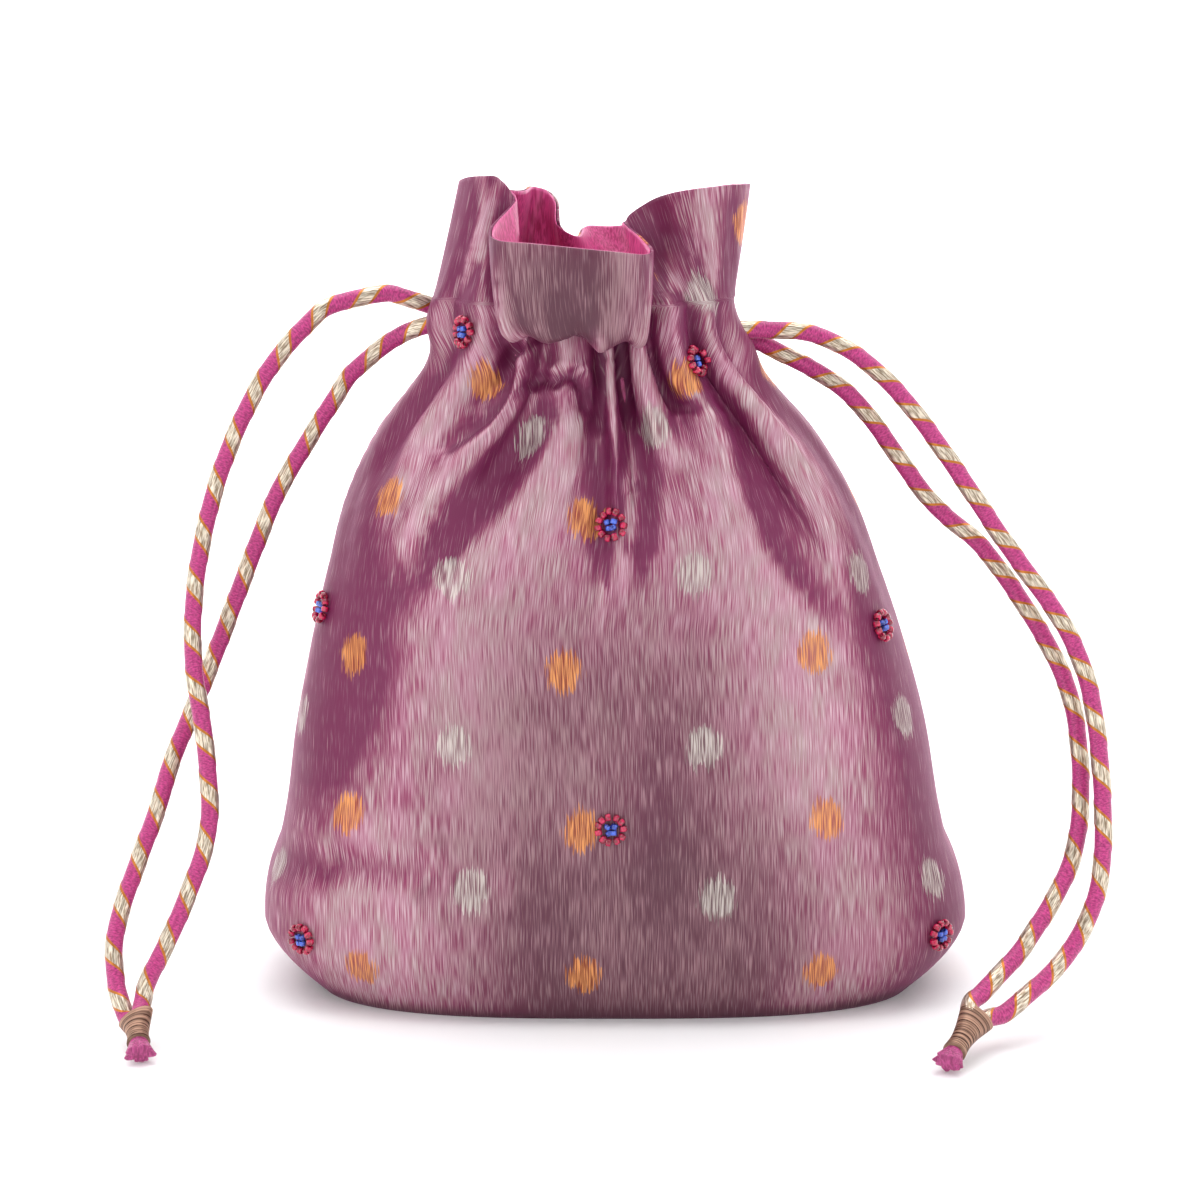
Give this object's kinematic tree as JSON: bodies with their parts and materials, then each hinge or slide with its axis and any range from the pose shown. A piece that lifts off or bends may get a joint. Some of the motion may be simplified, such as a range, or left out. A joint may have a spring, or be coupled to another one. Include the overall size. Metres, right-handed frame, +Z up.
{
  "type": "potli bag",
  "caption": "Gathered drawstring pouch of shot pink brocade with a satin lining, frilled mouth, bead flowers and gota-wound cords with bound ends.",
  "frame": {"origin": "middle of the flat base, on the surface that the bag stands on", "axes": "+Z up through the gathered neck, -Y out of the front face, +X to the right as seen from the front"},
  "size_m": [0.2808, 0.1465, 0.2337],
  "materials": {
    "brocade": "shot tissue brocade, pale metallic sheen over magenta, woven gold and silver dots",
    "lining_satin": "smooth pink satin",
    "cord_satin": "magenta satin cord wound with silver-gold ribbon",
    "metal_thread": "bronze metallic thread whipping",
    "crimson_beads": "crimson silver-lined glass seed beads",
    "blue_beads": "blue glass seed beads"
  },
  "bodies": {
    "root": {"outer_bag": "brocade", "lining": "lining_satin", "drawstring_left": "cord_satin", "binding_left": "metal_thread", "cord_end_left": "cord_satin", "drawstring_right": "cord_satin", "binding_right": "metal_thread", "cord_end_right": "cord_satin", "bead_flower_01_ring": "crimson_beads", "bead_flower_01_centre": "blue_beads", "bead_flower_02_ring": "crimson_beads", "bead_flower_02_centre": "blue_beads", "bead_flower_03_ring": "crimson_beads", "bead_flower_03_centre": "blue_beads", "bead_flower_04_ring": "crimson_beads", "bead_flower_04_centre": "blue_beads", "bead_flower_05_ring": "crimson_beads", "bead_flower_05_centre": "blue_beads", "bead_flower_06_ring": "crimson_beads", "bead_flower_06_centre": "blue_beads", "bead_flower_07_ring": "crimson_beads", "bead_flower_07_centre": "blue_beads", "bead_flower_08_ring": "crimson_beads", "bead_flower_08_centre": "blue_beads", "bead_flower_09_ring": "crimson_beads", "bead_flower_09_centre": "blue_beads", "bead_flower_10_ring": "crimson_beads", "bead_flower_10_centre": "blue_beads", "bead_flower_11_ring": "crimson_beads", "bead_flower_11_centre": "blue_beads", "bead_flower_12_ring": "crimson_beads", "bead_flower_12_centre": "blue_beads", "bead_flower_13_ring": "crimson_beads", "bead_flower_13_centre": "blue_beads", "bead_flower_14_ring": "crimson_beads", "bead_flower_14_centre": "blue_beads", "bead_flower_15_ring": "crimson_beads", "bead_flower_15_centre": "blue_beads"}
  },
  "joints": []
}
